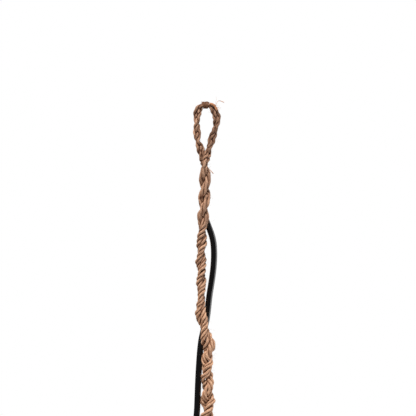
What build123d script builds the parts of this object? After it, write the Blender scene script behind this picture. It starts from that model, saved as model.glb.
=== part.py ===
from build123d import *
import os
from math import cos, pi, radians, sin, tan

# Hanging macrame planter, in millimetres. The origin is where the hook touches the inside of the
# hanging loop. +Z is up, +X is to the right of someone facing the planter, +Y is away from them.

# Cords
CORD_R = 1.5  # one jute cord
PAIR_R = 2.6  # two jute cords twisted together
LOOP_R = 3.0  # the bundle of four cords that makes the loop
ROPE_R = 4.8  # all eight cord ends twisted together, at the mean of their lobes and necks
BLACK_R = 3.3  # the smooth black cord that winds down the rope
SPACE = 0.4  # left between bodies that move past each other
CONTACT = 0.05  # left between pieces of one body that bear on each other

# Loop and whipping
WHIPPING_WALL = 0.5
WHIPPING_LENGTH = 4.2
LOOP_TOP = LOOP_R + WHIPPING_WALL  # the bundle's centre line where the hook bears

# Gathering knot
KNOT_TOP = -345.0
KNOT_CORE_R = 7.5
KNOT_HEIGHT = 36.0  # room for about four and a half turns of the black cord
KNOT_R = KNOT_CORE_R + 2 * BLACK_R

# Pot
POT_RIM_Z = -640.0
POT_HEIGHT = 145.0
POT_RIM_R = 80.0
POT_BASE_R = 57.0
POT_WALL = 5.5
POT_FLOOR = 7.0
POT_BASE_Z = POT_RIM_Z - POT_HEIGHT

# Cradle: four legs, knotted at the rim, split and knotted again half way round to the next leg
LEGS = 4
FIRST_LEG = 20.0  # degrees from +X
QUARTER = 360.0 / LEGS
RIM_KNOT_R = 6.4
RIM_KNOT_Z = -672.0
LOWER_KNOT_R = 5.6
LOWER_KNOT_Z = -742.0
BOTTOM_KNOT_R = 10.0
BOTTOM_KNOT_Z = -816.0
TASSEL_TOP = -829.0
TASSEL_FOOT = -962.0


def pot_radius(z):
    """The pot's outside at a height."""
    return POT_RIM_R + (z - POT_RIM_Z) * (POT_RIM_R - POT_BASE_R) / POT_HEIGHT


RIM_KNOT_OUT = pot_radius(RIM_KNOT_Z) + RIM_KNOT_R + 2 * SPACE
LOWER_KNOT_OUT = pot_radius(LOWER_KNOT_Z) + LOWER_KNOT_R + 2 * SPACE

# Routes. Each is the list of points that a cord's centre line turns at.
LOOP_ROUTE = [  # across and up: from the throat's left side, over the hook, to its right side
    (-3.5, -48.6),
    (-5.9, -42.0),
    (-8.7, -33.5),
    (-9.0, -25.0),
    (-9.4, -14.0),
    (-8.5, -4.5),
    (-6.5, 0.6),
    (-3.8, LOOP_TOP),
    (3.8, LOOP_TOP),
    (7.0, 0.9),
    (9.9, -4.6),
    (12.4, -11.0),
    (11.2, -18.8),
    (8.9, -27.2),
    (6.3, -35.5),
    (3.0, -48.6),
]
TAIL_ROUTE = [  # the cord end that lies over the loop's right shoulder, in front of it
    (4.4, -4.1, 5.8),
    (7.2, -4.2, 4.2),
    (9.4, -4.2, 1.5),
    (11.8, -4.2, -3.4),
]
ROPE_ROUTE = [  # across and up: the rope, which sways a little because nothing heavy pulls it
    (0.0, -51.4),
    (-0.3, -75.0),
    (-1.4, -100.0),
    (-3.0, -122.0),
    (-4.6, -146.0),
    (-4.7, -172.0),
    (-4.3, -198.0),
    (-3.6, -218.0),
    (-1.0, -234.0),
    (2.6, -250.0),
    (2.4, -270.0),
    (2.5, -295.0),
    (3.2, -317.0),
    (0.7, -333.0),
    (0.3, KNOT_TOP + 1.5 * SPACE),
]
BLACK_ROUTE = [  # out from behind the rope, down its right side, behind it and down its left side
    (-2.4, 8.9, -104.0),
    (0.8, 8.2, -114.0),
    (4.6, 4.6, -125.5),
    (8.1, 2.0, -138.5),
    (9.2, 0.8, -152.0),
    (8.6, 0.7, -167.0),
    (6.6, 2.2, -182.5),
    (4.0, 4.8, -198.0),
    (2.6, 6.8, -212.5),
    (0.9, 9.2, -226.0),
    (-4.7, 8.5, -239.5),
    (-6.4, 4.2, -253.0),
    (-6.9, 1.8, -269.0),
    (-7.7, 1.0, -287.0),
    (-8.3, 0.9, -304.0),
    (-8.9, 1.2, -320.0),
    (-10.4, 0.5, -333.0),
    (-10.8, 0.1, KNOT_TOP + 1.5 * SPACE),
]
LEG_ROUTE = [  # out and up: from the gathering knot, over the pot's rim, to the rim knot
    (4.2, -385.6),
    (6.6, -399.0),
    (12.6, -419.0),
    (83.5, -634.8),
    (RIM_KNOT_OUT, RIM_KNOT_Z),
]
RIM_BEND_R = 20.0  # the leg's bend over the rim
NET_ROUTE = [  # degrees round, out from the pot's side, up: from a rim knot to a lower knot
    (0.0, RIM_KNOT_R, RIM_KNOT_Z),
    (10.0, 4.6, -688.0),
    (22.0, 3.0, -706.0),
    (34.0, 3.9, -725.0),
    (45.0, LOWER_KNOT_R, LOWER_KNOT_Z),
]
BASE_ROUTE = [  # out and up: from a lower knot, round the pot's foot, to the bottom knot
    (LOWER_KNOT_OUT, LOWER_KNOT_Z),
    (63.2, -780.3),
    (57.3, -788.1),
    (29.0, -798.0),
    (3.5, -808.8),
]


def from_profile(route, azimuth=0.0):
    """Points that stand at (out, up), turned about the Z axis."""
    a = radians(azimuth)
    return [(out * cos(a), out * sin(a), up) for out, up in route]


def on_pot(route, azimuth, way):
    """Points given by their turn round the pot and their stand-off from its side."""
    places = []
    for turn, stand_off, up in route:
        a = radians(azimuth + way * turn)
        out = pot_radius(up) + stand_off + 2 * SPACE
        places.append((out * cos(a), out * sin(a), up))
    return places


def bend_radii(points, fixed=None):
    """The largest arc that each corner's two runs allow, or a stated one."""
    radii = []
    for i in range(1, len(points) - 1):
        before = Vector(*points[i]) - Vector(*points[i - 1])
        after = Vector(*points[i + 1]) - Vector(*points[i])
        half_turn = radians(before.get_angle(after)) / 2
        largest = 0.45 * min(before.length, after.length) / tan(half_turn)
        radii.append((fixed or {}).get(i, largest))
    return radii


def cord_tube(label, points, radius, cut_by=(), fixed=None):
    """A round cord along straight runs and tangent arcs, cut back to the knots it ends in."""
    radii = bend_radii(points, fixed)
    with BuildPart() as cord:
        with BuildLine() as path:
            FilletPolyline(*points, radius=radii)
        with BuildSketch(Plane(origin=path.line @ 0, z_dir=path.line % 0)):
            Circle(radius)
        sweep(path=path.line)
        whole = cord.part.volume
        for centre, knot_r in cut_by:
            with Locations(centre):
                Sphere(knot_r + CONTACT, mode=Mode.SUBTRACT)
    cord.part.label = label
    length = path.wire().length
    share = whole / (pi * radius**2 * length)
    print(f"{label}: length {length:.1f}, volume/section {share:.4f}, radii", end=" ")
    print(" ".join(f"{r:.0f}" for r in radii))
    return cord


def knot_ball(label, centre, radius):
    """An overhand knot, as the ball it is pulled into."""
    with BuildPart() as knot:
        with Locations(centre):
            Sphere(radius)
    knot.part.label = label
    return knot


def turned(label, pattern, azimuth):
    """A copy of a cradle piece, turned about the Z axis."""
    with BuildPart() as copy:
        with Locations(Rotation(0, 0, azimuth)):
            add(pattern.part)
    copy.part.label = label
    return copy


os.makedirs("parts", exist_ok=True)

# Hanging loop: the four cords, folded over the hook and twisted in two legs
loop_points = [(x, 0.0, z) for x, z in LOOP_ROUTE]
hanging_loop = cord_tube("hanging_loop", loop_points, LOOP_R)

# Whipping: thin dark twine bound round the top of the loop, where the cord ends overlap
with BuildPart() as loop_whipping:
    with BuildSketch(Plane(origin=(-WHIPPING_LENGTH / 2, 0, LOOP_TOP), z_dir=(1, 0, 0))):
        Circle(LOOP_R + WHIPPING_WALL)
        Circle(LOOP_R + CONTACT / 2, mode=Mode.SUBTRACT)
    extrude(amount=WHIPPING_LENGTH)
loop_whipping.part.label = "loop_whipping"

loop_tail = cord_tube("loop_tail", TAIL_ROUTE, CORD_R)

# Main rope and the black cord that winds down it
rope_points = [(x, 0.0, z) for x, z in ROPE_ROUTE]
main_rope = cord_tube("main_rope", rope_points, ROPE_R)
black_cord = cord_tube("black_cord", BLACK_ROUTE, BLACK_R)

# Gathering knot: the eight ends as one core, and the black cord's turns round them
with BuildPart() as gathered_core:
    with BuildSketch(Plane.XY.offset(KNOT_TOP)):
        Circle(KNOT_CORE_R - CONTACT)
    extrude(amount=-KNOT_HEIGHT)
    chamfer(gathered_core.edges().group_by(Axis.Z)[0], length=2.0)
gathered_core.part.label = "gathered_core"

with BuildPart() as gathering_wrap:
    with BuildSketch(Plane.XY.offset(KNOT_TOP)):
        Circle(KNOT_R)
        Circle(KNOT_CORE_R, mode=Mode.SUBTRACT)
    extrude(amount=-KNOT_HEIGHT)
    outer_edges = gathering_wrap.edges().filter_by(GeomType.CIRCLE).group_by(SortBy.RADIUS)[-1]
    fillet(outer_edges, radius=0.8 * BLACK_R)
gathering_wrap.part.label = "gathering_wrap"

# Cradle: each kind of piece is made once, for a leg at +X, and turned into its places
half = QUARTER / 2
rim_centre = from_profile([(RIM_KNOT_OUT, RIM_KNOT_Z)])[0]
next_centre, last_centre = (
    from_profile([(LOWER_KNOT_OUT, LOWER_KNOT_Z)], turn)[0] for turn in (half, -half)
)
bottom_centre = (0.0, 0.0, BOTTOM_KNOT_Z)
rim_end = (rim_centre, RIM_KNOT_R)
leg = cord_tube("leg", from_profile(LEG_ROUTE), PAIR_R, [rim_end], {3: RIM_BEND_R})
rim_knot = knot_ball("rim knot", rim_centre, RIM_KNOT_R)
net_next = cord_tube(
    "net cord", on_pot(NET_ROUTE, 0, 1), CORD_R, [rim_end, (next_centre, LOWER_KNOT_R)]
)
net_last = cord_tube(
    "net cord", on_pot(NET_ROUTE, 0, -1), CORD_R, [rim_end, (last_centre, LOWER_KNOT_R)]
)
lower_knot = knot_ball("lower knot", next_centre, LOWER_KNOT_R)
base_cord = cord_tube(
    "base cord",
    from_profile(BASE_ROUTE, half),
    PAIR_R,
    [(next_centre, LOWER_KNOT_R), (bottom_centre, BOTTOM_KNOT_R)],
)
cradle = []
for i in range(LEGS):
    azimuth = FIRST_LEG + QUARTER * i
    cradle += [
        turned(f"cradle_leg_{i + 1}", leg, azimuth),
        turned(f"rim_knot_{i + 1}", rim_knot, azimuth),
        turned(f"net_cord_{2 * i + 1}", net_last, azimuth),
        turned(f"net_cord_{2 * i + 2}", net_next, azimuth),
        turned(f"lower_knot_{i + 1}", lower_knot, azimuth),
        turned(f"base_cord_{i + 1}", base_cord, azimuth),
    ]
bottom_knot = knot_ball("bottom_knot", bottom_centre, BOTTOM_KNOT_R)

# Tassel: the eight cord ends below the bottom knot, as the bundle's outer shape
with BuildPart() as tassel:
    with BuildSketch(Plane.XZ):
        with BuildLine():
            Polyline(
                (0, TASSEL_FOOT),
                (15.0, TASSEL_FOOT),
                (13.5, -930.0),
                (9.5, -870.0),
                (7.6, -845.0),
                (5.2, TASSEL_TOP),
                (0, TASSEL_TOP),
                close=True,
            )
        make_face()
    revolve(axis=Axis.Z)
    fillet(tassel.edges().group_by(Axis.Z)[0], radius=3.0)
tassel.part.label = "tassel"

# Pot: a tapered cup with a rounded rim and foot
with BuildPart() as pot:
    with BuildSketch(Plane.XZ):
        with BuildLine():
            Polyline(
                (0, POT_BASE_Z),
                (POT_BASE_R, POT_BASE_Z),
                (POT_RIM_R, POT_RIM_Z),
                (POT_RIM_R - POT_WALL, POT_RIM_Z),
                (pot_radius(POT_BASE_Z + POT_FLOOR) - POT_WALL, POT_BASE_Z + POT_FLOOR),
                (0, POT_BASE_Z + POT_FLOOR),
                close=True,
            )
        make_face()
    revolve(axis=Axis.Z)
    rim_edges = pot.edges().filter_by(GeomType.CIRCLE).group_by(Axis.Z)[-1]
    fillet(rim_edges, radius=0.45 * POT_WALL)
    foot_edges = pot.edges().filter_by(GeomType.CIRCLE).group_by(Axis.Z)[0]
    fillet(foot_edges, radius=4.0)
pot.part.label = "pot"

pieces = [
    hanging_loop,
    loop_whipping,
    loop_tail,
    main_rope,
    black_cord,
    gathered_core,
    gathering_wrap,
    *cradle,
    bottom_knot,
    tassel,
    pot,
]
for piece in pieces:
    export_step(piece.part, f"parts/{piece.part.label}.step")
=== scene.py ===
"""Hanging macrame planter: the looks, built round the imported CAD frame. Sizes and places are worked
out in millimetres, and the pieces are made in metres."""
from math import cos, pi, radians, sin, tau

import bpy
import numpy as np
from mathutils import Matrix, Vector
from mathutils.kdtree import KDTree


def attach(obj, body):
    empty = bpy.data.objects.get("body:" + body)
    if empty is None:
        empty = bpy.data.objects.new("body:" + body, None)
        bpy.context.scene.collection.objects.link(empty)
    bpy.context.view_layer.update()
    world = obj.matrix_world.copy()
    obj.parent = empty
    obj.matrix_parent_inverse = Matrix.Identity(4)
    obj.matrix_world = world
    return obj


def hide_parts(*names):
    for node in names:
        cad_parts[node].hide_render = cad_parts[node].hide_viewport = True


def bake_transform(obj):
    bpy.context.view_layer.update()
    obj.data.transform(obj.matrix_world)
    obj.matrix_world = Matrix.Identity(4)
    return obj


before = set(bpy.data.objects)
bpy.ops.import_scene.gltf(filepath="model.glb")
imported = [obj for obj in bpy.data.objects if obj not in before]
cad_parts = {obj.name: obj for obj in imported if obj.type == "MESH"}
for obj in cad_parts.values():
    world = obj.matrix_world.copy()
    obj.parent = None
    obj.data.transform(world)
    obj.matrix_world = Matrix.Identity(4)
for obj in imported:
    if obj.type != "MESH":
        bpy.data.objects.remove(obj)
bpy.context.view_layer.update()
MM = 0.001

# ---------------------------------------------------------------- sizes, in millimetres
CORD_R = 1.4  # one jute cord
CORD_SIDES = 14
BLACK_R = 3.3
KNOT_TOP = -345.0
KNOT_CORE_R = 7.5
KNOT_FOOT = -381.0
POT_RIM_Z, POT_BASE_Z = -640.0, -785.0
POT_RIM_R, POT_BASE_R = 80.0, 57.0
POT_GAP = 0.8  # from the pot's side to a cord that stands off by its own radius
LEGS = 4
FIRST_LEG = 20.0
QUARTER = 360.0 / LEGS
RIM_KNOT_R, RIM_KNOT_Z = 6.4, -672.0
LOWER_KNOT_R, LOWER_KNOT_Z = 5.6, -742.0
BOTTOM_KNOT_R, BOTTOM_KNOT_Z = 10.0, -816.0
TASSEL_FOOT = -962.0
TASSEL_ENDS = 8
PAIR_TURN = 19.0  # one full turn of two cords twisted together
PAIR_OUT = 1.4  # how far out each of them lies
STRAND_LAY = 21.0  # one full turn of the strands in the middle of the rope
PLAIT_LAY = 24.0  # the same lower down, where the two legs are laid opposite ways
PART_Z = -68.0  # where the loop's piece of the rope meets the rest, on the rope's body
LOOP_TOP = 2.4  # the middle of the loop's cords, over the hook
THROAT = -60.0  # the loop's own shade of jute ends here
LAID = -116.0  # below this the four cords are laid together
PLAITED = -238.0  # below this the rope's two legs are laid opposite ways
WAVES_AT_TOP = 404.4  # where along their waves the rope's cords are at the hook
STRAND_TRIM = 0.046  # radians, a last small turn of the strands there


def pot_radius(z):
    """The pot's outer radius at a height."""
    return POT_RIM_R + (z - POT_RIM_Z) * (POT_RIM_R - POT_BASE_R) / (POT_RIM_Z - POT_BASE_Z)


RIM_KNOT_OUT = pot_radius(RIM_KNOT_Z) + RIM_KNOT_R + POT_GAP
LOWER_KNOT_OUT = pot_radius(LOWER_KNOT_Z) + LOWER_KNOT_R + POT_GAP

# ---------------------------------------------------------------- routes
# The CAD's points, some of them moved by a few millimetres. The black cord's upper end is
# tucked in between the rope's cords, where the CAD's stops beside them.
LOOP_ROUTE = [
    (-4.4, 0, -48.6),
    (-5.9, 0, -42.0),
    (-8.7, 0, -33.5),
    (-9.0, 0, -25.0),
    (-9.4, 0, -14.0),
    (-8.5, 0, -5.2),
    (-6.6, 0, -0.3),
    (-3.8, 0, LOOP_TOP),
    (3.8, 0, LOOP_TOP),
    (7.0, 0, 0.2),
    (9.9, 0, -4.9),
    (12.4, 0, -11.0),
    (11.2, 0, -18.8),
    (8.9, 0, -27.2),
    (5.9, 0, -35.5),
    (2.1, 0, -48.6),
]
TAIL_ROUTE = [(4.4, -3.3, 3.2), (7.4, -3.5, 3.0), (10.0, -3.5, 1.0), (11.9, -3.5, -3.0)]
ROPE_ROUTE = [
    (-1.3, 0, -51.4),
    (-0.1, 0, -75.0),
    (-1.4, 0, -100.0),
    (-3.0, 0, -122.0),
    (-4.6, 0, -146.0),
    (-4.7, 0, -172.0),
    (-4.3, 0, -199.0),
    (-5.8, 0, -217.0),
    (-1.4, 0, -229.0),
    (-0.4, 0, -238.0),
    (4.0, 0, -248.0),
    (2.3, 0, -262.0),
    (1.5, 0, -276.0),
    (2.1, 0, -295.0),
    (2.9, 0, -318.0),
    (0.7, 0, -333.0),
    (0.3, 0, -344.4),
]
TUCKED = 8  # so many of its points lead the black cord out of the rope
TUCK_TOP, TUCK_FOOT = -90.0, -119.0  # between these the rope's cords make room for it
BLACK_ROUTE = [
    (-0.9, 1.4, -94.0),
    (-1.1, 4.2, -99.0),
    (-1.5, 7.8, -105.0),
    (-1.2, 8.9, -110.0),
    (-0.6, 8.2, -115.5),
    (3.6, 4.8, -126.0),
    (8.1, 2.0, -138.5),
    (9.2, 0.8, -152.0),
    (8.6, 0.7, -167.0),
    (6.6, 2.2, -182.5),
    (4.0, 4.8, -198.0),
    (2.6, 6.8, -212.5),
    (0.9, 9.2, -226.0),
    (-3.5, 8.5, -239.5),
    (-5.5, 4.2, -253.0),
    (-6.7, 1.8, -269.0),
    (-7.7, 1.0, -287.0),
    (-8.3, 0.9, -304.0),
    (-8.9, 1.2, -320.0),
    (-10.4, 0.5, -333.0),
]
LEG_ROUTE = [
    (4.2, -385.6),
    (6.6, -399.0),
    (12.6, -419.0),
    (83.5, -634.8),
    (RIM_KNOT_OUT, RIM_KNOT_Z),
]
NET_ROUTE = [
    (0.0, RIM_KNOT_R, RIM_KNOT_Z),
    (10.0, 4.6, -688.0),
    (22.0, 3.0, -706.0),
    (34.0, 3.9, -725.0),
    (45.0, LOWER_KNOT_R, LOWER_KNOT_Z),
]
BASE_ROUTE = [
    (LOWER_KNOT_OUT, LOWER_KNOT_Z),
    (63.2, -780.3),
    (57.3, -788.1),
    (29.0, -798.0),
    (3.5, -808.8),
]
# Heights at which the rope's two legs have turned one more quarter round each other
ROPE_QUARTERS = [
    -44.8, -62.7, -74.8, -84.7, -94.7, -105.7, -116.2, -128.8, -141.4, -151.9, -162.4,
    -173.5, -185.5, -193.9, -216.0, -232.8, -248.5, -256.9, -265.3, -275.8, -286.3,
    -296.8, -306.3, -317.8, -328.5, -339.0, -349.5,
]
# The same for the two strands of each loop leg: up the left leg, then down the right one
LEFT_QUARTERS = [-43.0, -35.6, -26.0, -17.5, -8.0]
RIGHT_QUARTERS = [-10.2, -22.8, -32.2, -42.7, -53.0]
# How far out each of the rope's two legs lies from the rope's middle: depth, distance
ROPE_REACH = [
    (48.6, 3.1), (66.0, 3.0), (112.0, 3.0), (132.0, 1.9), (165.0, 2.1), (192.0, 1.5), (208.0, 1.6),
    (220.0, 2.9), (236.0, 3.0), (247.0, 3.5), (262.0, 2.7), (287.0, 3.3), (320.0, 4.0),
    (345.0, 3.1), (371.0, 2.8),
]
# Single fibres that stand off the loop's tail
LONG_STRAY = [
    (11.0, -4.4, 0.5), (11.6, -4.6, 4.5), (13.2, -4.2, 6.6), (16.0, -4.0, 6.4), (19.4, -4.0, 4.8),
]
SHORT_STRAY = [(10.4, -4.5, 2.0), (10.8, -4.6, 6.0), (11.6, -4.8, 9.0), (10.8, -5.0, 11.4)]
STRAYS = [(LONG_STRAY, 0.07, 6.0), (SHORT_STRAY, 0.1, 0.5)]  # radius at the root, how the tip swells
# One more further down, under the throat
ROPE_STRAY = [(3.2, -2.6, -63.4), (5.2, -3.6, -66.4), (8.2, -3.4, -69.8)]


def from_profile(route, azimuth):
    """Points given as out and up, at an azimuth round the planter."""
    a = radians(azimuth)
    return [(out * cos(a), out * sin(a), up) for out, up in route]


def on_pot(route, azimuth, way):
    """Points given as degrees round, out from the pot's side, and up, to one side or the other."""
    places = []
    for turn, stand_off, up in route:
        a = radians(azimuth + way * turn)
        out = pot_radius(up) + stand_off + POT_GAP
        places.append((out * cos(a), out * sin(a), up))
    return places


# ---------------------------------------------------------------- lines and frames
def spline_line(points, step):
    """The smooth NURBS line of a route, in mm, as points one step apart."""
    curve = bpy.data.curves.new("route", "CURVE")
    curve.dimensions = "3D"
    spline = curve.splines.new("NURBS")
    spline.points.add(len(points) - 1)
    for point, place in zip(spline.points, points):
        point.co = (*place, 1)
    spline.order_u = 3
    spline.use_endpoint_u = True
    spline.resolution_u = 32
    holder = bpy.data.objects.new("route", curve)
    mesh = bpy.data.meshes.new_from_object(holder)
    line = np.array([v.co[:] for v in mesh.vertices])
    bpy.data.objects.remove(holder)
    bpy.data.meshes.remove(mesh)
    bpy.data.curves.remove(curve)
    return even_line(line, step)


def even_line(line, step):
    """The same line with its points one step apart."""
    gaps = np.linalg.norm(np.diff(line, axis=0), axis=1)
    line = line[np.concatenate([[True], gaps > 1e-7])]
    s = arc_length(line)
    count = max(2, int(round(s[-1] / step)) + 1)
    at = np.linspace(0, s[-1], count)
    return np.stack([np.interp(at, s, line[:, k]) for k in range(3)], axis=1)


def arc_length(line):
    """How far along the line each of its points is."""
    return np.concatenate([[0], np.cumsum(np.linalg.norm(np.diff(line, axis=0), axis=1))])


def unit(v):
    return v / np.maximum(np.linalg.norm(v, axis=-1, keepdims=True), 1e-12)


def softened(values, passes):
    """Values along a line, its ends held, with each averaged with its neighbours a few times."""
    values = values.copy()
    for _ in range(passes):
        values[1:-1] = 0.25 * values[:-2] + 0.5 * values[1:-1] + 0.25 * values[2:]
    return values


def frames(lines, first=(0.0, -1.0, 0.0)):
    """Tangent, normal and binormal along lines of shape (cords, rings, 3). The first binormal leans
    to the given direction, and the frame turns no more than the line does."""
    t = unit(np.gradient(lines, axis=1))
    b = np.empty_like(t)
    seed = np.broadcast_to(np.array(first), t[:, 0].shape)
    b[:, 0] = unit(seed - np.sum(seed * t[:, 0], -1, keepdims=True) * t[:, 0])
    for i in range(1, lines.shape[1]):
        last = b[:, i - 1]
        b[:, i] = unit(last - np.sum(last * t[:, i], -1, keepdims=True) * t[:, i])
    n = np.cross(b, t)
    return t, n, b


def round_line(line, n, b, radius, angle):
    """A line that winds round another one, at a radius and an angle that may vary along it."""
    return line + np.asarray(radius)[..., None] * (
        np.cos(angle)[..., None] * n + np.sin(angle)[..., None] * b
    )


def eased(x):
    """0 up to 0, 1 from 1 on, and a smooth step between them."""
    x = np.clip(x, 0, 1)
    return x * x * (3 - 2 * x)


def line_frame(line):
    """The normal and binormal along one line."""
    _, n, b = frames(line[None])
    return n[0], b[0]


def wobble(s, rng, wavelength, size):
    """A smooth random wave along s."""
    total = np.zeros_like(s)
    for _ in range(4):
        total += np.sin(tau * s / (wavelength * rng.uniform(0.6, 1.7)) + rng.uniform(0, tau))
    return total * size / 2.0


# ---------------------------------------------------------------- meshes
class Mesh:
    """Gathers tubes and makes one object of them."""

    def __init__(self):
        self.verts, self.faces, self.fibre, self.tone, self.painted_shade = [], [], [], [], []
        self.count = 0

    def add(self, verts, faces, fibre=None, tone=None, painted_shade=None):
        n = len(verts)
        self.verts.append(verts)
        self.faces += [face + self.count for face in faces]
        self.fibre.append(verts if fibre is None else fibre)
        self.tone.append(np.full(n, 0.5) if tone is None else tone)
        # how far painted shade darkens each point
        self.painted_shade.append(np.zeros(n) if painted_shade is None else painted_shade)
        self.count += n

    def make(self, name, material, slot):
        verts = np.concatenate(self.verts) * MM
        quads = [f for f in self.faces if f.shape[1] == 4]
        others = [f for f in self.faces if f.shape[1] != 4]
        sizes = np.concatenate([np.full(len(f), f.shape[1]) for f in quads + others])
        loops = np.concatenate([f.ravel() for f in quads + others])
        mesh = bpy.data.meshes.new(name)
        mesh.vertices.add(len(verts))
        mesh.vertices.foreach_set("co", verts.astype(np.float32).ravel())
        mesh.loops.add(len(loops))
        mesh.loops.foreach_set("vertex_index", loops.astype(np.int32))
        mesh.polygons.add(len(sizes))
        starts = np.concatenate([[0], np.cumsum(sizes)[:-1]])
        mesh.polygons.foreach_set("loop_start", starts.astype(np.int32))
        mesh.polygons.foreach_set("use_smooth", sizes == 4)  # all but the end caps
        mesh.update(calc_edges=True)
        mesh.validate()
        fibre = mesh.attributes.new("fibre", "FLOAT_VECTOR", "POINT")
        fibre.data.foreach_set("vector", np.concatenate(self.fibre).astype(np.float32).ravel())
        # the tone, and how far painted shade darkens each point
        for key, values in (("tone", self.tone), ("painted_shade", self.painted_shade)):
            layer = mesh.attributes.new(key, "FLOAT", "POINT")
            layer.data.foreach_set("value", np.concatenate(values).astype(np.float32))
        mesh.materials.append(material)
        obj = bpy.data.objects.new(name, mesh)
        bpy.context.scene.collection.objects.link(obj)
        return obj


def tube_faces(cords, rings, sides):
    """Quads of tubes laid out as (cords, rings, sides), and a flat cap at each end."""
    c, r, k = np.meshgrid(
        np.arange(cords), np.arange(rings - 1), np.arange(sides), indexing="ij"
    )
    near, far = (c * rings + r) * sides, (c * rings + r + 1) * sides
    here, beside = k, (k + 1) % sides
    quads = np.stack([near + here, near + beside, far + beside, far + here], -1)
    ends = []
    for i in range(cords):
        first = i * rings * sides
        last = first + (rings - 1) * sides
        ends.append(np.arange(first, first + sides)[::-1][None])
        ends.append(np.arange(last, last + sides)[None])
    return [quads.reshape(-1, 4)] + ends


def tube_points(lines, n, b, radius, sides):
    """Rings of points round lines. radius is one number, or an array of one for each point."""
    phi = np.arange(sides)[:, None] * tau / sides
    out = np.cos(phi) * n[:, :, None] + np.sin(phi) * b[:, :, None]
    return lines[:, :, None] + np.asarray(radius)[..., None] * out


OWN_RINGS = 24  # a cord isn't crowded by its own rings that are this near along it
NEIGHBOURS = 10  # how many of the nearest points are looked at
FAR = 3.0  # in mm: from here on nothing crowds


def crowding(lines, place):
    """0 where the cord is free, 1 where it lies against another cord or its own other leg: how much
    painted shade goes there.
    """
    cords, rings, _ = lines.shape
    tree = KDTree(cords * ((rings + 1) // 2))
    for c in range(cords):
        for i in range(0, rings, 2):
            tree.insert(lines[c, i], c * rings + i)
    tree.balance()
    gap = np.full(place.shape[:3], FAR)
    for c in range(cords):
        for i in range(0, rings, 2):
            for k in range(place.shape[2]):
                for _, index, away in tree.find_n(place[c, i, k], NEIGHBOURS):
                    if index // rings != c or abs(index % rings - i) > OWN_RINGS:
                        gap[c, i : i + 2, k] = away
                        break
    return np.clip(1 - (gap - CORD_R) / (1.15 * CORD_R), 0, 1)


def add_cords(mesh, lines, rng, radius=CORD_R, sides=CORD_SIDES, plies=3, lay=26.0, lobe=0.05,
              tone=None, taper=None, crowded=False):
    """Plied jute cords along lines of shape (cords, rings, 3), with painted shade in the valleys
    between their plies. crowded adds painted shade where they touch.
    """
    cords, rings, _ = lines.shape
    _, n, b = frames(lines)
    s = np.stack([arc_length(line) for line in lines])
    phi = np.arange(sides) * tau / sides
    phase = rng.uniform(0, tau, cords)[:, None, None]
    swing = np.stack([wobble(x, rng, 22.0, 0.35) for x in s])[..., None]
    turned = phi[None, None] + (tau / lay) * s[..., None] + phase + swing
    ridge = np.cos(plies * turned)
    swell = np.stack([wobble(x, rng, 12.0, 0.05) for x in s])[..., None]
    fine = 0.03 * np.cos(8 * turned + 3.1 * np.sin(s[..., None] * 0.9 + phase))
    r = radius * (1 + lobe * ridge + swell + fine)
    if taper is not None:
        r = r * taper[..., None]
    place = tube_points(lines, n, b, r, sides)
    along = np.broadcast_to(s[..., None] + 37.0 * phase, turned.shape)
    fibre = np.stack([radius * np.cos(turned), radius * np.sin(turned), along], -1)
    # painted shade in the valleys between the plies
    painted_shade = 0.35 * np.clip(0.5 - 0.5 * ridge, 0, 1) ** 2
    if crowded:
        open_lay = np.interp(-place[..., 2], [110, 135], [1.0, 0.82])  # the painted shade is weaker lower down
        # painted shade where the cord lies against another one
        painted_shade = np.maximum(painted_shade, crowding(lines, place) * open_lay)
    shade = np.broadcast_to(rng.uniform(-0.14, 0.14, cords)[:, None, None], turned.shape)
    if tone is not None:
        shade = shade + np.where(tone < 1, tone, 1.2)[..., None]
    mesh.add(
        place.reshape(-1, 3),
        tube_faces(cords, rings, sides),
        fibre.reshape(-1, 3),
        shade.reshape(-1),
        painted_shade.reshape(-1),
    )


def add_fibres(mesh, lines, rng, count, reach=(2.5, 8.0)):
    """Loose fibres that leave the cords at a shallow angle and curl."""
    cords, rings, _ = lines.shape
    t, n, b = frames(lines)
    runs = 4
    for _ in range(count):
        c, i = rng.integers(cords), rng.integers(1, rings - 1)
        a = rng.uniform(0, tau)
        out = cos(a) * n[c, i] + sin(a) * b[c, i]
        way = 1 if rng.random() < 0.5 else -1
        heading = unit(way * t[c, i] + rng.uniform(0.1, 0.8) * out)
        point = lines[c, i] + 0.85 * CORD_R * out
        length = rng.uniform(*reach) * (1.6 if rng.random() < 0.08 else 1.0)
        bend = rng.normal(0, 0.35, 3)
        points = [point]
        for _ in range(runs):
            heading = unit(heading + bend * 0.5 + rng.normal(0, 0.12, 3))
            points.append(points[-1] + heading * length / runs)
        add_thread(mesh, np.array(points), rng.uniform(0.05, 0.09), rng.uniform(0.35, 1.0))


def add_thread(mesh, points, radius, tone, sides=3, tip=0.35):
    """One thin fibre, tapering unless its tip is frayed wide."""
    lines = points[None]
    _, n, b = frames(lines, first=(0.31, 0.2, 0.93))
    rings = len(points)
    place = tube_points(lines, n, b, radius * np.linspace(1, tip, rings)[None, :, None], sides)
    mesh.add(
        place.reshape(-1, 3), tube_faces(1, rings, sides), tone=np.full(rings * sides, tone)
    )


def bundle(line, rng, offset, cords):
    """Cords that wind round a line together."""
    s = arc_length(line)
    n, b = line_frame(line)
    swing = wobble(s, rng, 40.0, 0.3)
    lines = []
    for k in range(cords):
        angle = tau * s / PAIR_TURN + swing + tau * k / cords
        reach = offset * (1 + wobble(s, rng, 18.0, 0.12))
        lines.append(round_line(line, n, b, reach, angle))
    return np.stack(lines)


# ---------------------------------------------------------------- materials
WHITE = (1.0, 1.0, 1.0)


def new_material(name):
    material = bpy.data.materials.new(name)
    material.use_nodes = True
    nodes, links = material.node_tree.nodes, material.node_tree.links
    return material, nodes, links, nodes["Principled BSDF"]


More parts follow.
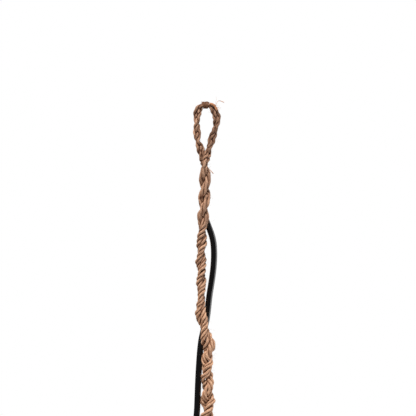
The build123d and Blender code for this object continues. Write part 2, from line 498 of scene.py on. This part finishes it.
def noise(nodes, links, vector, scale, detail=3.0, roughness=0.6):
    node = nodes.new("ShaderNodeTexNoise")
    node.inputs["Scale"].default_value = scale
    node.inputs["Detail"].default_value = detail
    node.inputs["Roughness"].default_value = roughness
    links.new(vector, node.inputs["Vector"])
    return node.outputs["Fac"]


def ramp(nodes, links, value, stops):
    node = nodes.new("ShaderNodeValToRGB")
    elements = node.color_ramp.elements
    while len(elements) < len(stops):
        elements.new(0.5)
    for element, (place, colour) in zip(elements, stops):
        element.position = place
        element.color = (*colour, 1)
    links.new(value, node.inputs["Fac"])
    return node.outputs["Color"]


def mixed(nodes, links, kind, factor, a, b):
    """Two colours mixed. factor, a and b are sockets or plain values."""
    node = nodes.new("ShaderNodeMix")
    node.data_type = "RGBA"
    node.blend_type = kind
    for socket, value in ((0, factor), (6, a), (7, b)):
        if isinstance(value, bpy.types.NodeSocket):
            links.new(value, node.inputs[socket])
        else:
            plain = (*value, 1) if isinstance(value, tuple) else value
            node.inputs[socket].default_value = plain
    return node.outputs[2]


def attribute(nodes, name, output):
    node = nodes.new("ShaderNodeAttribute")
    node.attribute_name = name
    return node.outputs[output]


def stretched(nodes, links, vector, scale):
    node = nodes.new("ShaderNodeMapping")
    node.inputs["Scale"].default_value = scale
    links.new(vector, node.inputs["Vector"])
    return node.outputs["Vector"]


def add_bump(nodes, links, shader, height, strength, distance):
    bump = nodes.new("ShaderNodeBump")
    bump.inputs["Strength"].default_value = strength
    bump.inputs["Distance"].default_value = distance
    links.new(height, bump.inputs["Height"])
    links.new(bump.outputs["Normal"], shader.inputs["Normal"])


def jute_material():
    """Plied jute: fibres along each ply, with painted shade where cords lie together and between their
    plies, uneven from cord to cord.
    """
    material, nodes, links, shader = new_material("jute")
    fibre = attribute(nodes, "fibre", "Vector")
    streaks = noise(nodes, links, stretched(nodes, links, fibre, (3.6, 3.6, 0.42)), 1.0, 4.0, 0.7)
    blotches = noise(nodes, links, stretched(nodes, links, fibre, (0.4, 0.4, 0.16)), 1.0, 2.0)
    base = ramp(
        nodes, links, streaks,
        [(0.27, (0.15, 0.066, 0.032)), (0.42, (0.424, 0.228, 0.133)), (0.56, (0.636, 0.392, 0.25)),
         (0.72, (0.91, 0.668, 0.478))],
    )
    tone = attribute(nodes, "tone", "Fac")
    tint = ramp(
        nodes, links, tone,
        [(0.0, (0.455, 0.408, 0.38)), (0.4, (0.775, 0.738, 0.728)), (0.65, (1.0, 0.965, 0.93)),
         (0.9, (1.0, 0.96, 0.92)), (1.0, (0.86, 0.64, 0.48))],
    )
    base = mixed(nodes, links, "MULTIPLY", 1.0, base, tint)
    patch = ramp(nodes, links, blotches, [(0.35, (0.62, 0.58, 0.56)), (0.6, WHITE)])
    base = mixed(nodes, links, "MULTIPLY", 1.0, base, patch)
    painted_shade = attribute(nodes, "painted_shade", "Fac")
    # painted shade: darker where cords lie together and between plies
    dark = ramp(
        nodes, links, painted_shade,
        [(0.2, WHITE), (0.62, (0.46, 0.335, 0.26)), (0.95, (0.18, 0.1, 0.062))],
    )
    base = mixed(nodes, links, "MULTIPLY", 1.0, base, dark)
    links.new(base, shader.inputs["Base Color"])
    shader.inputs["Roughness"].default_value = 0.7
    shader.inputs["Specular IOR Level"].default_value = 0.35
    add_bump(nodes, links, shader, streaks, 0.6, 0.0004)
    return material


def dark_twine_material():
    """The loop's dark brown binding twine."""
    material, nodes, links, shader = new_material("dark_twine")
    fibre = attribute(nodes, "fibre", "Vector")
    streaks = noise(nodes, links, stretched(nodes, links, fibre, (6.0, 6.0, 1.2)), 1.0, 3.0)
    base = ramp(
        nodes, links, streaks, [(0.32, (0.03, 0.0105, 0.0043)), (0.66, (0.215, 0.083, 0.0285))]
    )
    links.new(base, shader.inputs["Base Color"])
    shader.inputs["Roughness"].default_value = 0.6
    return material


def black_material():
    """Smooth extruded black cord with a satin skin and faint draw marks."""
    material, nodes, links, shader = new_material("black_rubber")
    fibre = attribute(nodes, "fibre", "Vector")
    draw = noise(nodes, links, stretched(nodes, links, fibre, (1.6, 1.6, 0.03)), 1.0, 2.0)
    dust = noise(nodes, links, stretched(nodes, links, fibre, (0.9, 0.9, 0.5)), 1.0, 5.0, 0.7)
    base = ramp(nodes, links, dust, [(0.4, (0.002, 0.0018, 0.002)), (0.75, (0.004, 0.0036, 0.004))])
    links.new(base, shader.inputs["Base Color"])
    rough = ramp(nodes, links, draw, [(0.35, (0.14,) * 3), (0.65, (0.19,) * 3)])
    links.new(rough, shader.inputs["Roughness"])
    add_bump(nodes, links, shader, draw, 0.12, 0.0002)
    shader.inputs["Specular IOR Level"].default_value = 0.45
    return material


def stoneware_material():
    """Matt off-white stoneware with iron speckles and faint throwing rings."""
    material, nodes, links, shader = new_material("stoneware")
    place = nodes.new("ShaderNodeTexCoord").outputs["Object"]
    cloud = noise(nodes, links, place, 22.0, 3.0)
    base = ramp(nodes, links, cloud, [(0.3, (0.66, 0.61, 0.53)), (0.7, (0.78, 0.74, 0.67))])
    speckles = ((260.0, 0.075, (0.2, 0.13, 0.09)), (620.0, 0.1, (0.36, 0.27, 0.2)))
    for scale, size, colour in speckles:
        cells = nodes.new("ShaderNodeTexVoronoi")
        cells.inputs["Scale"].default_value = scale
        links.new(place, cells.inputs["Vector"])
        spots = ramp(
            nodes, links, cells.outputs["Distance"], [(size, colour), (size + 0.07, WHITE)]
        )
        base = mixed(nodes, links, "MULTIPLY", 0.8, base, spots)
    links.new(base, shader.inputs["Base Color"])
    rings = stretched(nodes, links, place, (4.0, 4.0, 260.0))
    height = noise(nodes, links, rings, 1.0, 2.0)
    add_bump(nodes, links, shader, height, 0.35, 0.0008)
    rough = ramp(nodes, links, cloud, [(0.3, (0.55,) * 3), (0.7, (0.7,) * 3)])
    links.new(rough, shader.inputs["Roughness"])
    return material


JUTE = jute_material()
TWINE = dark_twine_material()
BLACK = black_material()
STONEWARE = stoneware_material()

# ---------------------------------------------------------------- camera and lights
FRAME_WIDTH = 0.4368  # what the picture's width covers at the rope
LENS, SENSOR = 100.0, 36.0
VIEW_X, VIEW_Z = 0.0026, -0.1057  # the middle of the picture


def add_camera():
    data = bpy.data.cameras.new("camera")
    data.lens, data.sensor_width = LENS, SENSOR
    camera = bpy.data.objects.new("camera", data)
    camera.location = (VIEW_X, -FRAME_WIDTH * LENS / SENSOR, VIEW_Z)
    camera.rotation_euler = (pi / 2, 0, 0)
    bpy.context.scene.collection.objects.link(camera)
    bpy.context.scene.camera = camera


def add_light(name, place, aim, size, power, mirrored=True):
    """A soft rectangular light. mirrored says whether glossy surfaces reflect it."""
    data = bpy.data.lights.new(name, "AREA")
    data.shape = "RECTANGLE"
    data.size, data.size_y = size
    data.energy = power
    light = bpy.data.objects.new(name, data)
    light.visible_glossy = mirrored
    light.location = place
    light.rotation_euler = (Vector(aim) - Vector(place)).to_track_quat("-Z", "Y").to_euler()
    bpy.context.scene.collection.objects.link(light)


def add_world():
    """White behind the object, but only a dim grey as a light on it."""
    world = bpy.data.worlds.new("studio")
    bpy.context.scene.world = world
    world.use_nodes = True
    nodes, links = world.node_tree.nodes, world.node_tree.links
    nodes.clear()
    seen, lit = nodes.new("ShaderNodeBackground"), nodes.new("ShaderNodeBackground")
    seen.inputs["Color"].default_value = (1, 1, 1, 1)
    seen.inputs["Strength"].default_value = 1.0
    lit.inputs["Color"].default_value = (1, 1, 1, 1)
    lit.inputs["Strength"].default_value = 0.12
    path, mix = nodes.new("ShaderNodeLightPath"), nodes.new("ShaderNodeMixShader")
    out = nodes.new("ShaderNodeOutputWorld")
    links.new(path.outputs["Is Camera Ray"], mix.inputs["Fac"])
    links.new(lit.outputs[0], mix.inputs[1])
    links.new(seen.outputs[0], mix.inputs[2])
    links.new(mix.outputs[0], out.inputs["Surface"])


FLOOR_R = 1.4  # it ends before it gets under the side light
FLOOR_Z = (TASSEL_FOOT - 40) * MM


def add_floor():
    """A pale floor that fades out into the background."""
    bpy.ops.mesh.primitive_circle_add(
        vertices=96, radius=FLOOR_R, fill_type="NGON", location=(0, 0, FLOOR_Z)
    )
    floor = bpy.context.object
    floor.name = "floor"
    material, nodes, links, shader = new_material("floor")
    place = nodes.new("ShaderNodeTexCoord").outputs["Object"]
    cloud = noise(nodes, links, place, 3.0)
    pale = ramp(nodes, links, cloud, [(0.3, (0.58, 0.58, 0.58)), (0.7, (0.64, 0.64, 0.64))])
    links.new(pale, shader.inputs["Base Color"])
    shader.inputs["Roughness"].default_value = 0.9
    shader.inputs["Emission Color"].default_value = (0.24, 0.24, 0.24, 1)
    path = nodes.new("ShaderNodeLightPath")
    links.new(path.outputs["Is Camera Ray"], shader.inputs["Emission Strength"])
    inward = nodes.new("ShaderNodeTexGradient")
    inward.gradient_type = "SPHERICAL"
    links.new(stretched(nodes, links, place, (1 / FLOOR_R,) * 3), inward.inputs["Vector"])
    solid = ramp(nodes, links, inward.outputs["Fac"], [(0.0, (0.0,) * 3), (0.65, (1.0,) * 3)])
    links.new(solid, shader.inputs["Alpha"])
    floor.data.materials.append(material)


add_camera()
add_world()
add_floor()
add_light("key_top", (-0.35, -1.3, 1.35), (0, 0, -0.25), (0.7, 0.7), 65.5)
add_light("side_right", (1.43, 0.25, -0.2), (0, 0, -0.3), (1.7, 1.8), 30)
add_light("fill_left", (-1.5, 0.2, 0.5), (0, 0, -0.4), (0.5, 0.9), 18, mirrored=False)
bpy.context.scene.view_settings.view_transform = "Standard"

# ---------------------------------------------------------------- loop and rope
STEP = 0.7


def rope_leg(side):
    """The centre line of one leg of the rope, from the throat down. side is 0 on the right."""
    axis = spline_line([(-1.3, 0, -40.0)] + ROPE_ROUTE + [(0.0, 0, KNOT_TOP - 26)], STEP)
    axis = axis[axis[:, 2] < LOOP_ROUTE[0][2]]
    z = axis[:, 2]
    turn = np.interp(-z, -np.array(ROPE_QUARTERS), np.arange(len(ROPE_QUARTERS)) * pi / 2)
    reach = np.interp(-z, *zip(*ROPE_REACH))
    n, b = line_frame(axis)
    return round_line(axis, n, b, reach, turn + pi * side)


def folded_line():
    """One leg's line, up, over the hook and down into the other leg, as the cords really run."""
    right, left = rope_leg(0), rope_leg(1)
    loop = spline_line(LOOP_ROUTE, STEP)
    whole = np.concatenate([left[::-1], loop[1:-1], right])
    return even_line(softened(whole, 6), STEP)  # softened for the two joins at the throat


def strand_spin(line, laid, plaited):
    """How far the two strands of a leg have turned round each other, all along the folded line: by
    the quarters listed above, evenly where laid is 1, and opposite ways where plaited is 1."""
    s = arc_length(line)
    top = int(np.argmax(line[:, 2]))
    below = ROPE_QUARTERS[1:]
    left = np.interp(below[::-1] + LEFT_QUARTERS, line[: top + 1, 2], s[: top + 1])
    right = np.interp(RIGHT_QUARTERS + below, line[top:, 2][::-1], s[top:][::-1])
    places = np.concatenate([left, [s[top]], right])
    ways = [-1] * (len(left) - len(LEFT_QUARTERS))
    ways = np.array(ways + [1] * (len(LEFT_QUARTERS) + 1 + len(RIGHT_QUARTERS)) + ways)
    quarters = (np.cumsum(ways) + 1) * pi / 2
    upper = softened(np.interp(s, places, quarters), 60)
    hand = np.where(np.arange(len(s)) < top, 1, -1)
    rate = (1 - laid - plaited) * np.gradient(upper, s)
    rate += laid * tau / STRAND_LAY + plaited * hand * tau / PLAIT_LAY
    spin = np.concatenate([[0], np.cumsum(0.5 * (rate[1:] + rate[:-1]) * np.diff(s))])
    return spin + upper[top] - spin[top]


def make_room(lines, other, apart, top, foot):
    """The lines eased away from another cord that lies among them between two heights, in place."""
    z = lines[..., 2]
    held = eased((top - z) / 5) * eased((z - foot) / 6)
    for _ in range(3):
        at = np.stack([np.interp(-z, -other[:, 2], other[:, k]) for k in range(2)], -1)
        gap = lines[..., :2] - at
        far = np.linalg.norm(gap, axis=-1)
        move = gap * (held * np.clip(apart - far, 0, None) / np.maximum(far, 0.5))[..., None]
        lines[..., :2] += np.stack([softened(m, 4) for m in move])


def rope_cords():
    """The four folded cords, all along: in pairs up at the loop, all four laid together lower down."""
    rng = np.random.default_rng(11)
    line = folded_line()
    z = line[:, 2]
    top = np.argmax(z)
    s = arc_length(line)
    s = s - s[top] + WAVES_AT_TOP
    loop = np.clip((z + 64) / 16, 0, 1)  # 1 in the loop, 0 in the rope
    low = eased((LAID - z) / 14)
    plaited = eased((PLAITED - z) / 16)
    n, b = line_frame(line)
    lean = np.arctan2(n[top, 1], b[top, 1])  # so that the strands lie the same way at the hook
    spin = strand_spin(line, low - plaited, plaited) - lean - STRAND_TRIM
    flat = spin[top] + pi / 2
    bound = eased((z + 1.5) / 3)  # under the whipping
    upper = (1 - loop) * (1 - low)  # the rope's upper part
    pair_out = 1.75 - 0.12 * loop + 0.15 * loop * (line[:, 0] > 0)
    pair_out = pair_out - 0.25 * low - 0.65 * bound - 0.2 * upper + 0.7 * plaited
    cord_out = 1.4 - 0.12 * loop + 0.1 * low - 0.4 * bound
    along = loop * (1 - low)  # up at the loop the two cords of a strand lie flat beside each other
    lines = []
    for strand in range(2):
        swing = wobble(s, rng, 20.0, 0.22) * (0.4 + low + 0.8 * plaited)
        at = round_line(line, n, b, pair_out + swing, spin + pi * strand)
        for cord in range(2):
            angle = (1 - along) * (spin + pi / 2 - flat) + flat + pi * cord
            angle = angle + wobble(s, rng, 30.0, 0.2 + 0.3 * low) + loop * np.sin(tau * s / 13)
            reach = cord_out + wobble(s, rng, 13.0, 0.2) * (1 + plaited)
            lines.append(round_line(at, n, b, reach, angle))
    lines = np.stack(lines)
    tucked = spline_line(BLACK_ROUTE[:TUCKED], 1.0)
    make_room(lines, tucked, 0.97 * (CORD_R + BLACK_R), TUCK_TOP, TUCK_FOOT)
    return lines, line


def tone_of(lines):
    """How light and warm the jute is: darker up at the loop, with painted shade on the loop's right leg
    and a little painted light on its left leg.
    """
    x, z = lines[..., 0], lines[..., 2]
    # on the loop: painted shade on the right leg, a little painted light on the left one
    side = eased(np.abs(x) / 5) * eased((z - THROAT) / 15) * np.where(x > 0, -0.2, 0.055)
    return 0.15 + 0.65 * np.clip((THROAT - z) / 240, 0, 1) + side


def add_stretch(mesh, whole, cords, part):
    """One stretch of ready-made cords, so that neighbouring stretches meet ring to ring."""
    kept = []
    for values in (whole.verts[0], whole.fibre[0], whole.tone[0], whole.painted_shade[0]):
        laid_out = values.reshape(cords, -1, CORD_SIDES, *values.shape[1:])[:, part]
        kept.append(laid_out.reshape(-1, *values.shape[1:]))
    rings = len(kept[0]) // (cords * CORD_SIDES)
    mesh.add(kept[0], tube_faces(cords, rings, CORD_SIDES), *kept[1:])


def add_rope():
    """The loop's cords and the rope's, which are the same four cords, in two pieces with their fuzz."""
    rng = np.random.default_rng(12)
    cords, middle = rope_cords()
    z = middle[:, 2]
    high = np.flatnonzero(z > PART_Z)
    first, last = high[0], high[-1]
    whole = Mesh()
    down = -cords[..., 2]
    loose = eased((down - 58) / 8) * eased((122 - down) / 8)  # 1 where the rope is hardly twisted
    fat = 1 + 0.07 * eased((down + PLAITED) / 16) + 0.12 * loose
    add_cords(whole, cords, rng, tone=tone_of(cords), taper=fat, crowded=True)
    loop, rope = Mesh(), Mesh()
    add_stretch(loop, whole, len(cords), slice(first, last + 1))
    add_stretch(rope, whole, len(cords), slice(0, first + 1))
    add_stretch(rope, whole, len(cords), slice(last, len(z)))
    loop_obj = loop.make("loop_cords", JUTE, "jute")
    rope_obj = rope.make("rope_cords", JUTE, "jute")
    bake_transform(loop_obj)
    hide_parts("hanging_loop")
    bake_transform(rope_obj)
    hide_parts("main_rope")
    axis = 0.5 * (rope_leg(0) + rope_leg(1))
    axis = axis[axis[:, 2] < PART_Z][::5] * MM
    fuzz = Mesh()
    add_fibres(fuzz, cords[:, first:last], rng, 260, reach=(2.0, 6.0))
    add_thread(fuzz, spline_line(ROPE_STRAY, 0.6), 0.1, 1.0, sides=6, tip=5.0)
    loop_fuzz = fuzz.make("loop_fuzz", JUTE, "jute")
    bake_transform(loop_fuzz)
    fuzz = Mesh()
    for part in (cords[:, 20:first], cords[:, last:-20]):
        add_fibres(fuzz, part, rng, 420, reach=(2.0, 6.5))
    rope_fuzz = fuzz.make("rope_fuzz", JUTE, "jute")
    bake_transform(rope_fuzz)


def add_whipping():
    """Thin dark twine wound side by side round the top of the loop."""
    rng = np.random.default_rng(21)
    twine_r, turns = 0.62, 5
    loop = spline_line(LOOP_ROUTE, 0.1)
    top = loop[(np.abs(loop[:, 0]) < 3.0) & (loop[:, 2] > 0)]
    n, b = line_frame(top)
    angle = np.linspace(0, tau * turns, len(top))
    out = 3.25 + 0.2 * np.sin(2.3 * angle + 1)
    line = even_line(round_line(top, n, b, out, angle), 0.5)
    mesh = Mesh()
    add_cords(mesh, line[None], rng, radius=twine_r, sides=10, plies=2, lay=2.2, lobe=0.12)
    obj = mesh.make("loop_whipping_twine", TWINE, "dark_twine")
    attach(obj, "loop")
    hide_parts("loop_whipping")


def add_tail():
    """The cord end over the loop's right shoulder, opening into its yarns."""
    rng = np.random.default_rng(22)
    line = spline_line(TAIL_ROUTE, 0.5)
    mesh = Mesh()
    orange = np.full((1, len(line)), 1.0)  # a tone of 1 is the orange of frayed jute
    add_cords(
        mesh, line[None], rng, lay=9.0, lobe=0.12, tone=orange,
        taper=np.linspace(1.05, 0.85, len(line))[None],
    )
    for _ in range(26):
        start = line[-1 - rng.integers(0, 8)] + rng.normal(0, 0.5, 3)
        heading = unit(np.array([0.5, -0.2, -0.3]) + rng.normal(0, 0.5, 3))
        points = [start]
        for _ in range(4):
            heading = unit(heading + rng.normal(0, 0.3, 3) + np.array([0, 0, 0.12]))
            points.append(points[-1] + heading * rng.uniform(0.6, 1.9))
        add_thread(mesh, np.array(points), 0.09, rng.uniform(0.5, 1.0))
    for points, radius, tip in STRAYS:
        add_thread(mesh, spline_line(points, 0.6), radius, 1.0, sides=6, tip=tip)
    obj = mesh.make("loop_tail_cord", JUTE, "jute")
    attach(obj, "loop")
    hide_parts("loop_tail")


def add_black_cord():
    """The black cord: its free run down the rope, then its turns round the bundle."""
    centre_r = KNOT_CORE_R + BLACK_R
    top, foot = KNOT_TOP - BLACK_R, KNOT_FOOT + BLACK_R
    turns = (top - foot) / (2 * BLACK_R)
    points = list(BLACK_ROUTE)
    per_turn = 14
    steps = round(turns * per_turn)
    for i in range(steps + 1):
        a = pi + tau * (i + 1.2) / per_turn
        points.append((centre_r * cos(a), centre_r * sin(a), top + (foot - top) * i / steps))
    line = spline_line(points, 1.0)
    sides = 20
    s = arc_length(line)
    _, n, b = frames(line[None])
    place = tube_points(line[None], n, b, BLACK_R, sides)
    phi, along = np.meshgrid(np.arange(sides) * tau / sides, s)
    fibre = np.stack([BLACK_R * np.cos(phi), BLACK_R * np.sin(phi), along], -1)
    mesh = Mesh()
    mesh.add(place.reshape(-1, 3), tube_faces(1, len(line), sides), fibre.reshape(-1, 3))
    obj = mesh.make("black_cord_run", BLACK, "black_rubber")
    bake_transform(obj)
    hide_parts("black_cord", "gathering_wrap")


# ---------------------------------------------------------------- cradle
def add_between(name, route, node, rng, offset=PAIR_OUT, cords=2):
    """One cord or a pair between two knots."""
    line = spline_line(route, 0.9)
    lines = bundle(line, rng, offset, cords)
    mesh = Mesh()
    add_cords(mesh, lines, rng, sides=12, tone=tone_of(lines))
    obj = mesh.make(name, JUTE, "jute")
    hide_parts(node)
    path = spline_line(route, 4.0) * MM
    return obj, lines


def trefoil(centre, size, angle, axis):
    """The closed line of an overhand knot pulled tight round its own middle."""
    t = np.linspace(0, tau, 90)
    x = (np.sin(t) + 2 * np.sin(2 * t)) / 3
    y = (np.cos(t) - 2 * np.cos(2 * t)) / 3
    z = -np.sin(3 * t) / 3
    c, s = cos(angle), sin(angle)
    flat = np.stack([c * x - s * y, s * x + c * y, 2.1 * z], -1) * size
    axis = unit(np.array(axis, float))
    side = unit(np.cross(axis, (0.3, 0.9, 0.1)))
    other = np.cross(axis, side)
    return centre + flat[:, :1] * side + flat[:, 1:2] * other + flat[:, 2:] * axis


def add_knot(name, node, centre, radius, rng, loops, axis=(0, 0, 1)):
    """A tight knot of so many loops of cord, each turned its own way about the axis."""
    mesh = Mesh()
    for k in range(loops):
        size = (radius - CORD_R) * (1.0 - 0.16 * (k % 2))
        line = trefoil(np.array(centre), size, rng.uniform(0, tau), axis)
        add_cords(mesh, line[None], rng, sides=12, tone=tone_of(line[None]))
    knot = mesh.make(name, JUTE, "jute")
    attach(knot, "cradle")
    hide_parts(node)


def add_cradle():
    """The legs, net and base round the pot, from the gathering knot to the knot under the pot."""
    rng = np.random.default_rng(41)
    fuzz = Mesh()
    nets = 0
    for i in range(LEGS):
        azimuth = FIRST_LEG + QUARTER * i
        below = azimuth + QUARTER / 2
        rim = from_profile([(RIM_KNOT_OUT, RIM_KNOT_Z)], azimuth)[0]
        lower = from_profile([(LOWER_KNOT_OUT, LOWER_KNOT_Z)], below)[0]
        up_inside = [(4.2, KNOT_FOOT + 3.0)]
        leg, lines = add_between(
            f"leg_cords_{i + 1}", from_profile(up_inside + LEG_ROUTE, azimuth),
            f"cradle_leg_{i + 1}", rng,
        )
        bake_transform(leg)
        add_fibres(fuzz, lines[:, 16:], rng, 110)  # none inside the gathering knot
        for way in (-1, 1):
            nets += 1
            net, lines = add_between(
                f"net_single_{nets}", on_pot(NET_ROUTE, azimuth, way), f"net_cord_{nets}", rng,
                offset=0.0, cords=1,
            )
            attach(net, "cradle")
            add_fibres(fuzz, lines, rng, 26)
        base, lines = add_between(
            f"base_cords_{i + 1}", from_profile(BASE_ROUTE, below), f"base_cord_{i + 1}", rng
        )
        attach(base, "cradle")
        add_fibres(fuzz, lines, rng, 40)
        for name, centre, radius in (("rim", rim, RIM_KNOT_R), ("lower", lower, LOWER_KNOT_R)):
            add_knot(
                f"{name}_overhand_{i + 1}", f"{name}_knot_{i + 1}", centre, radius, rng, 2,
                axis=(centre[0], centre[1], 0),
            )
    add_knot("bottom_overhand", "bottom_knot", (0, 0, BOTTOM_KNOT_Z), BOTTOM_KNOT_R, rng, 5)
    fuzz_obj = fuzz.make("cradle_fuzz", JUTE, "jute")
    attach(fuzz_obj, "cradle")


def add_core():
    """The bundle of eight cords inside the black wrap."""
    rng = np.random.default_rng(51)
    z = np.linspace(KNOT_TOP - 7.5, KNOT_FOOT + 1.0, 50)  # from below the wrap's open top turn
    around, out_to = 8, 4.9
    lines = []
    for k in range(around + 1):
        out = out_to if k < around else 0.0  # the last one fills the middle
        angle = tau * k / around + 0.02 * (z - KNOT_TOP)
        lines.append(np.stack([out * np.cos(angle), out * np.sin(angle), z], -1))
    mesh = Mesh()
    lines = np.stack(lines)
    add_cords(mesh, lines, rng, radius=2.3, sides=12, tone=tone_of(lines))
    obj = mesh.make("gathered_cords", JUTE, "jute")
    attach(obj, "gather")
    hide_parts("gathered_core")


def add_tassel():
    """Eight cord ends that hang from the bottom knot, each one opening into its yarns."""
    rng = np.random.default_rng(61)
    yarns = Mesh()
    for k in range(TASSEL_ENDS):
        a = tau * k / TASSEL_ENDS + 0.2
        reach = rng.uniform(0.82, 1.0)
        foot = TASSEL_FOOT + rng.uniform(10.0, 24.0)
        route = [
            (1.6 * cos(a), 1.6 * sin(a), -820.0),
            (3.8 * cos(a), 3.8 * sin(a), -832.0),
            (6.4 * cos(a + 0.1), 6.4 * sin(a + 0.1), -858.0),
            (8.6 * reach * cos(a), 8.6 * reach * sin(a), -886.0),
            (9.6 * reach * cos(a - 0.1), 9.6 * reach * sin(a - 0.1), -914.0),
            (9.9 * reach * cos(a), 9.9 * reach * sin(a), foot),
        ]
        line = spline_line(route, 0.9)
        thinning = 1 - 0.55 * eased((foot + 26 - line[:, 2]) / 26)
        mesh = Mesh()
        add_cords(mesh, line[None], rng, sides=12, tone=tone_of(line[None]), taper=thinning[None])
        cord = mesh.make(f"tassel_cord_{k + 1}", JUTE, "jute")
        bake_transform(cord)
        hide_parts("tassel")
        path = spline_line(route, 4.0) * MM
        for _ in range(9):
            b = a + rng.uniform(-0.45, 0.45)
            out = rng.uniform(5.0, 12.5)
            start = line[-int(rng.integers(4, 42))]
            foot_z = TASSEL_FOOT + rng.uniform(1.0, 12.0)
            half_z = 0.45 * start[2] + 0.55 * foot_z
            half_x = 0.4 * start[0] + 0.6 * out * cos(b)
            half_y = 0.4 * start[1] + 0.6 * out * sin(b)
            end = (out * cos(b + 0.05), out * sin(b + 0.05), foot_z)
            thread = spline_line([tuple(start), (half_x, half_y, half_z), end], 1.6)
            thread = thread + np.stack([wobble(arc_length(thread), rng, 9.0, 0.3)] * 3, -1)
            thread[:, 2] = np.maximum(thread[:, 2], TASSEL_FOOT + 1)
            add_cords(
                yarns, thread[None], rng, radius=0.5, sides=8, plies=2, lay=4.0,
                tone=tone_of(thread[None]), taper=np.linspace(1, 0.5, len(thread))[None],
            )
        add_fibres(yarns, line[None, 12:], rng, 34)
    loose = yarns.make("tassel_yarns", JUTE, "jute")
    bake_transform(loose)


add_rope()
add_whipping()
add_tail()
add_black_cord()
add_core()
add_cradle()
add_tassel()
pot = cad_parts["pot"]
for face_slot in range(len(pot.material_slots)):
    pot.material_slots[face_slot].material = STONEWARE
